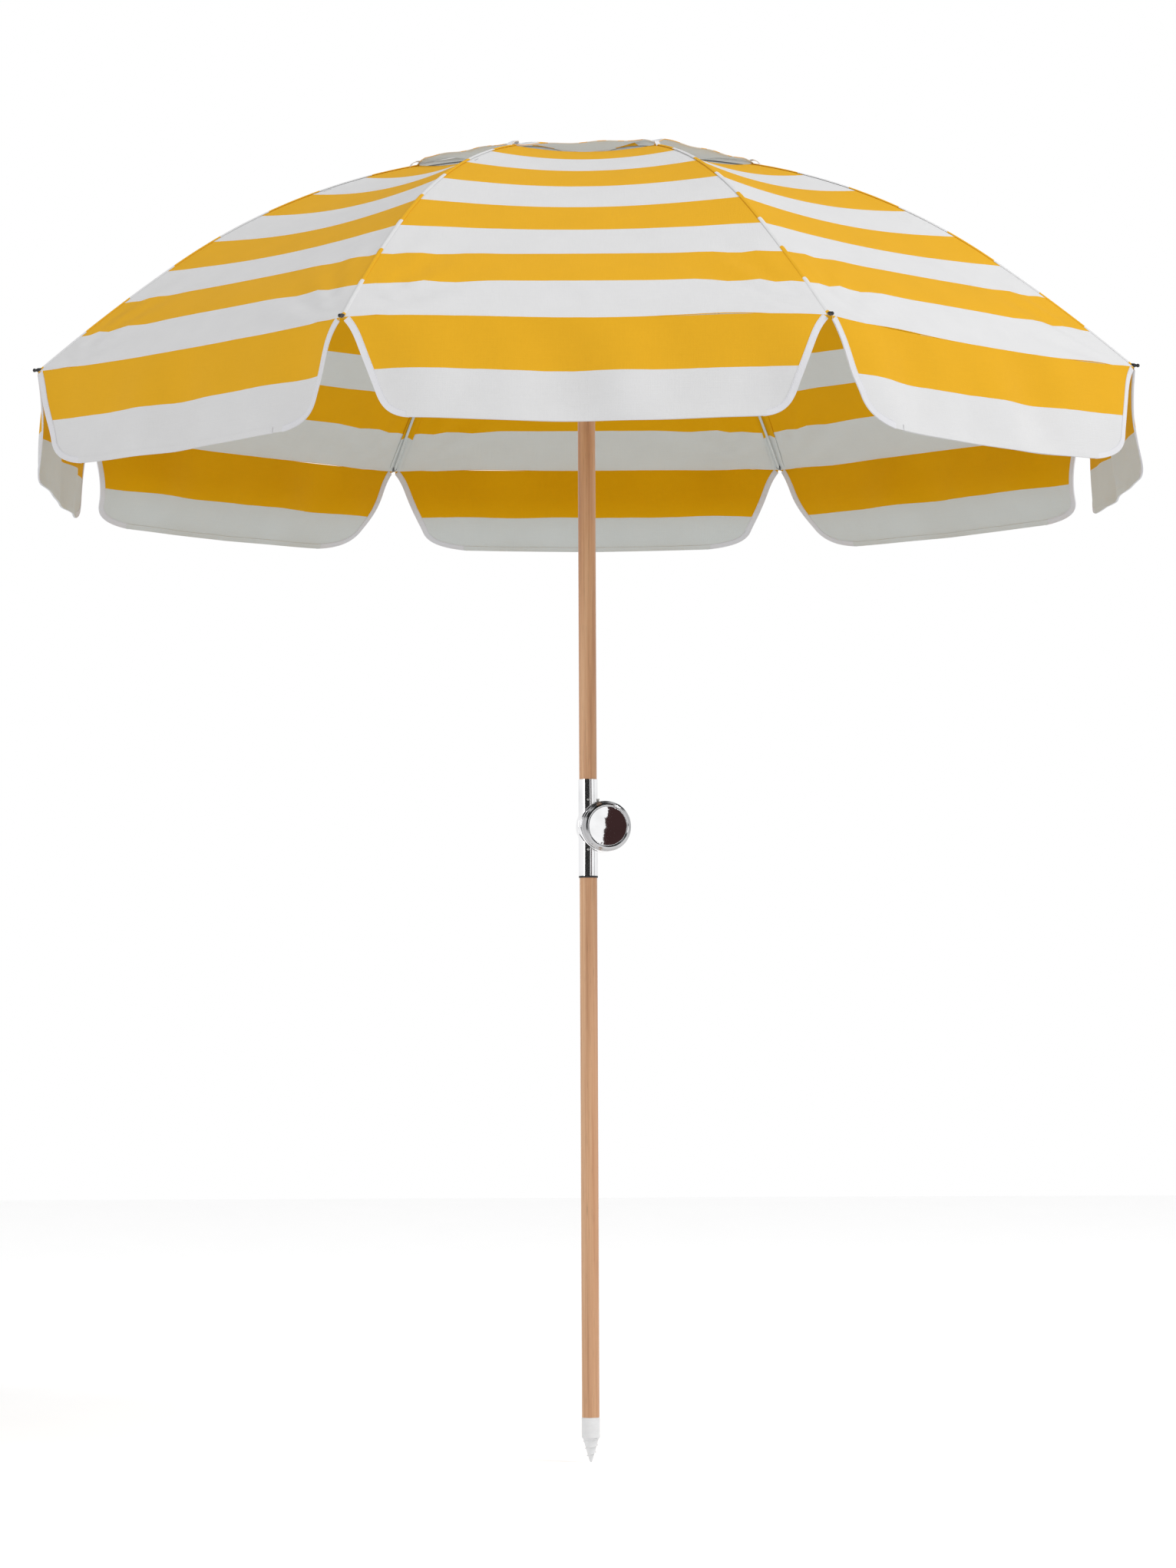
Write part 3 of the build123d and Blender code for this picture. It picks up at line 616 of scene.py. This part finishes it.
# ---------------------------------------------------------------- hanging flaps
HEM, HEM_BELOW = 0.009, 0.0004              # the hem's width, and how far it passes the cloth's edge
HEM_END, FRONT_HEM_END = 0.128, 0.095       # where the hem stops, in from the corner
HEM_THICKNESS, HEM_LIFT = 0.0022, 0.0011    # on top of the cloth's own thickness
BINDING_THICKNESS, BINDING_LIFT = 0.0014, 0.0008
BINDING_OUT, BINDING_IN = -0.0008, 0.0092   # the binding's two edges, in from the cloth's edge
CORNER_GAP = 0.003                  # the flap starts this far in from the corner
CORNER_END = 0.14                   # and from here on its edge is nearly straight
START = 0.0055                      # how far past the rim a flap's stripes start
SIDE_START, SIDE_PANELS = 0.0005, (1, 2, 3)


def flap(panel, side, number):
    """Half a flap, with its turned hem and its bound edge."""
    edge = edge_of(panel, side)
    edge = edge[edge[:, 0] >= CORNER_GAP]
    counts = np.arange(len(edge))
    flip = side > 0
    hem_end = FRONT_HEM_END if panel == FRONT else HEM_END
    start = CLOTH_LENGTH + (SIDE_START if panel in SIDE_PANELS else START)

    def cloth_at(a, b):
        return flap_point(panel, side * a, b)

    def reach(x):
        """How far down the cloth goes at x."""
        return np.interp(RIM_HALF - x, edge[:, 0], edge[:, 1])

    middle_x = np.linspace(0.0, RIM_HALF - CORNER_END, 14)
    corner_x = RIM_HALF - edge[::-1, 0]
    x, share = grid(np.unique(np.concatenate([middle_x, corner_x])), np.linspace(0.0, 1.0, 13))
    y = share * reach(x)
    cloth = Cloth()
    cloth.add(cloth_at, x, y, (side * x, start + y), slots=(0, 1, 2), flip=flip)
    x, share = grid(np.linspace(0.0, RIM_HALF - hem_end, 18), np.linspace(0.0, 1.0, 4))
    y = reach(x) - HEM * (1 - share) + HEM_BELOW
    cloth.add(cloth_at, x, y, (side * x, start + y), thickness=CLOTH + HEM_THICKNESS, lift=HEM_LIFT,
              flip=flip)
    tangent = np.gradient(edge, axis=0)
    tangent /= np.linalg.norm(tangent, axis=1, keepdims=True)
    inward = np.stack([tangent[:, 1], -tangent[:, 0]], 1)
    run = np.concatenate([[0.0], np.cumsum(np.linalg.norm(np.diff(edge, axis=0), axis=1))])

    def edge_at(a, b):
        """a counts the edge's points and b is the distance in from the edge."""
        inset = np.interp(a, counts, edge[:, 0]) + b * np.interp(a, counts, inward[:, 0])
        drop = np.interp(a, counts, edge[:, 1]) + b * np.interp(a, counts, inward[:, 1])
        return flap_point(panel, side * (RIM_HALF - inset), drop)

    a, b = grid(np.arange(0, len(edge) - 1, 1.0), np.linspace(BINDING_OUT, BINDING_IN, 5))
    cloth.add(edge_at, a, b, (np.interp(a, counts, run), b), thickness=CLOTH + BINDING_THICKNESS,
              lift=BINDING_LIFT, slots=(2, 3, 2), flip=flip)
    piece = cloth.build(f"flap_{panel}_{'b' if side > 0 else 'a'}",
                        [cloth_top, cloth_low_coated_and_shaded, tape_top, tape_low_painted_shade], f"valance_{number}")
    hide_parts(f"valance_{number}")
    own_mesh(piece)


# ---------------------------------------------------------------- vent cap
CAP_START, CAP_R = 0.028, 0.296
CAP_CLEARANCE = 0.0022              # above the seams
CAP_SAG, CAP_SAG_STARTS, CAP_SAG_ENDS = 0.016, (0.05, 0.19), (0.215, CAP_R)
CAP_RISE, CAP_RISE_ENDS = 0.0040, (0.034, 0.12)
CAP_DIP, CAP_DIP_ENDS = 0.0015, (0.12, 0.20)
CAP_LIFTS = {5: 0.004, 7: 0.004}    # these two sides of the cap stand off more
CAP_HEM_START = 0.19
HEM_STAND, HEM_TILT, HEM_RIPPLE = 0.0006, 0.0045, 0.0012
TIED_ACROSS, TIED_OUT = (0.86, 1.0), (0.6, 1.0)     # shares of a side and of the radius
TAPE_HALF, TAPE_THICKNESS = 0.004, 0.0012
TAPE_IN, TAPE_LENGTH = 0.012, 0.026     # where a tie starts, in from the cap's corner; its reach


def cap_point(panel, r, across):
    """Point of the vent cap; its hem lifts between the corners where it is tied down."""
    out, aside = outward_and_aside(panel_azimuth(panel))
    u = r * math.cos(HALF)
    w = across * u * math.tan(HALF)
    tied = 1 - smooth(*TIED_ACROSS, np.abs(across)) * smooth(*TIED_OUT, r / CAP_R)
    tilt = HEM_TILT * math.cos((panel - FRONT) * 2.4)
    hem = HEM_STAND + tilt * across + HEM_RIPPLE * np.sin(across * 8.0 + panel)
    hem = hem + CAP_LIFTS.get(panel, 0.0)
    lift = CAP_RISE * smooth(*CAP_RISE_ENDS, r) - CAP_DIP * smooth(*CAP_DIP_ENDS, r)
    sag = CAP_SAG * (1 - across ** 2) * smooth(*CAP_SAG_STARTS, r) * (1 - smooth(*CAP_SAG_ENDS, r))
    z = seam_z(r) + CAP_CLEARANCE - sag + tied * (lift + hem * smooth(CAP_HEM_START, CAP_R, r))
    return along(u, out) + along(w, aside) + along(z, UP)


def half_cap(panel, side):
    """Surface of half a side of the cap, from its middle (b = 0) to the corner's line (b = 1)."""
    return lambda a, b: cap_point(panel, a, side * b)


def cap_tie(number):
    """Loop of tape that ties the cap's corner down to the canopy's hem."""
    out, aside = outward_and_aside(rib_azimuth(number))

    def surface(a, b):
        r = CAP_R - TAPE_IN + TAPE_LENGTH * a
        loop = 0.0032 + 0.0042 * np.sin(math.pi * np.clip(a, 0, 1))
        height = loop - 0.0035 * smooth(0.8, 1.0, a)
        skew = 0.003 * np.sin(a * 5.0 + number)
        return along(r, out) + along(b + skew, aside) + along(seam_z(r) + height, UP)

    cloth = Cloth()
    a, b = grid(np.linspace(0, 1, 12), np.linspace(-TAPE_HALF, TAPE_HALF, 5))
    cloth.add(surface, a, b, (a * 0.03, b + TAPE_HALF), thickness=TAPE_THICKNESS)
    return cloth.build(f"cap_tie_{number}", [tape_top, tape_low_painted_shade], f"rib_{number}")


def cap_petal(number):
    """The vent cap's cloth about one rib, with the tape that ties it down."""
    cloth = Cloth()
    for panel, side in panels_beside(number):
        r, across = grid(np.linspace(CAP_START, CAP_R, 20), np.linspace(0.0, 1.0, 13))
        hem = middle_length(np.array(CAP_R))
        uv = (across * side * r * math.sin(HALF), STRIPE + hem - middle_length(r))
        cloth.add(half_cap(panel, side), r, across, uv, flip=side < 0)
    piece = cloth.build(f"vent_cap_cloth_{number}", [cloth_top, cloth_low_coated_and_shaded], f"rib_{number}")
    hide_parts("vent_cap")
    cap_tie(number)
    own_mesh(piece)


for number in range(1, SIDES + 1):
    petal(number)
    cap_petal(number)
    for panel, side in panels_beside(number):
        flap(panel, side, number)

# ---------------------------------------------------------------- camera, floor and light
CAMERA_PLACE = (0.0, -7.335, 0.6105)
CAMERA_PITCH = 3.516                # degrees above the level
CAMERA_ROLL = 0.25                  # degrees
camera_data = bpy.data.cameras.new("camera")
camera = bpy.data.objects.new("camera", camera_data)
bpy.context.scene.collection.objects.link(camera)
camera_data.sensor_width = 36.0
camera_data.lens = 103.1
camera_data.clip_end = 60.0
camera.location = CAMERA_PLACE
camera.rotation_mode = "QUATERNION"
level_look = Euler((math.radians(90 + CAMERA_PITCH), 0.0, 0.0)).to_quaternion()
camera.rotation_quaternion = level_look @ Quaternion((0, 0, 1), -math.radians(CAMERA_ROLL))
bpy.context.scene.camera = camera

FLOOR_HALF, FLOOR_Z = 14.0, -0.0415
FLOOR_GLOW = 0.45                   # keeps the paper white up to its edge


def floor():
    """A white sheet of paper under the ground screw's point."""
    mesh = bpy.data.meshes.new("floor")
    steps = np.linspace(-1, 1, 9)
    n = len(steps)
    points = [(x * FLOOR_HALF, y * FLOOR_HALF, FLOOR_Z) for y in steps for x in steps]
    faces = [(j * n + i, j * n + i + 1, (j + 1) * n + i + 1, (j + 1) * n + i)
             for j in range(n - 1) for i in range(n - 1)]
    mesh.from_pydata(points, [], faces)
    m = Finish("floor_paper", 0.9)
    fine = m.noise(m.place(), 6.0, 4.0)
    m.to("Base Color", m.ramp(fine, (0.3, grey(0.90)), (0.7, grey(0.93))))
    m.set("Emission Color", grey(1))
    m.set("Emission Strength", FLOOR_GLOW)
    mesh.materials.append(m.material)
    piece = bpy.data.objects.new("floor", mesh)
    bpy.context.scene.collection.objects.link(piece)
    piece.visible_diffuse = False


def area_light(name, place, target, size, power):
    """Round soft light that looks from a place at a target."""
    data = bpy.data.lights.new(name, "AREA")
    data.shape = "DISK"
    data.size = size
    data.energy = power
    light = bpy.data.objects.new(name, data)
    light.location = place
    aim = np.array(target) - np.array(place)
    light.rotation_mode = "QUATERNION"
    light.rotation_quaternion = Vector(aim).to_track_quat("-Z", "Y")
    bpy.context.scene.collection.objects.link(light)


# How bright the studio is as a light, below and above the horizon.
FLOOR_LIGHT, ROOM_LIGHT = 0.76, 0.54

# What gloss sees round the studio: (angle from the front, towards +X, in degrees; brightness).
WALLS = ((-180, 0.9), (-75, 1.0), (-61, 1.0), (-60, 0.15), (-57, 0.15), (-56, 1.0), (-46, 0.9),
         (-44, 0.02), (20, 0.03), (22, 1.0), (74, 1.0), (76, 0.2), (79, 0.2), (81, 1.0), (140, 0.95))

# What gloss sees up and down: (size of the direction's Z, brightness).
ENDS = ((0.0, 1), (0.42, 1), (0.50, 0.04), (0.72, 0.03), (0.76, 0.8), (0.86, 0.8), (0.90, 0.03),
        (1.0, 0.03))

# A dark curtain with sharp, slightly slanted and rough edges, from and to the same kind of angle.
CURTAIN = (28.62, 41.0)
CURTAIN_SLANT = -0.2                # radians per unit of the direction's Z
CURTAIN_ROUGH = 0.0028              # radians
CURTAIN_COLOUR = (0.045, 0.022, 0.022, 1.0)


def studio():
    """World that is white to the eye, dimmer as a light, and has dark gaps between white walls for
    gloss to reflect."""
    world = bpy.data.worlds.new("studio")
    bpy.context.scene.world = world
    world.use_nodes = True
    w = Nodes(world.node_tree)
    seen = w.tree.nodes["Background"]
    seen.inputs["Color"].default_value = grey(1)
    way = w.node("TexCoord").outputs["Generated"]
    parts = w.split(way)

    height = w.scaled(parts["Z"], 0.5, 0.5)
    room = w.ramp(height, (0.0, grey(FLOOR_LIGHT)), (0.42, grey(FLOOR_LIGHT)),
                  (0.58, grey(ROOM_LIGHT)), (1.0, grey(ROOM_LIGHT)))
    lit = w.node("Background", {"Color": room, "Strength": 1.0})

    turn = w.math("ARCTAN2", parts["X"], w.math("MULTIPLY", parts["Y"], -1.0))
    rough = w.scaled(w.noise(way, 900.0), CURTAIN_ROUGH, -CURTAIN_ROUGH / 2)
    turn = w.math("ADD", turn, rough)
    walls = w.ramp(w.scaled(turn, 0.5 / math.pi, 0.5),
                   *[(angle / 360 + 0.5, grey(value)) for angle, value in WALLS])
    ends = w.ramp(w.math("ABSOLUTE", parts["Z"]),
                  *[(position, grey(value)) for position, value in ENDS])
    room_seen = w.mix(1.0, walls, ends, "MULTIPLY")

    slanted = w.scaled(parts["Z"], CURTAIN_SLANT, turn)
    after = w.math("GREATER_THAN", slanted, math.radians(CURTAIN[0]))
    before = w.math("LESS_THAN", slanted, math.radians(CURTAIN[1]))
    hung = w.mix(w.math("MULTIPLY", after, before), room_seen, CURTAIN_COLOUR)
    gloss = w.node("Background", {"Color": hung, "Strength": 1.0})

    path = w.node("LightPath").outputs
    first = w.node("MixShader", {0: path["Is Glossy Ray"], 1: lit.outputs[0], 2: gloss.outputs[0]})
    last = w.node("MixShader", {0: path["Is Camera Ray"], 1: first.outputs[0], 2: seen.outputs[0]})
    w.tree.links.new(last.outputs[0], w.tree.nodes["World Output"].inputs["Surface"])


floor()
area_light("key", (6.0, -3.5, 7.0), (0, 0, 1.6), 3.0, 335)
area_light("fill", (-6.0, -5.0, 3.0), (0, 0, 1.4), 4.0, 100)
studio()
bpy.context.scene.view_settings.view_transform = "Standard"
bpy.context.scene.view_settings.look = "None"
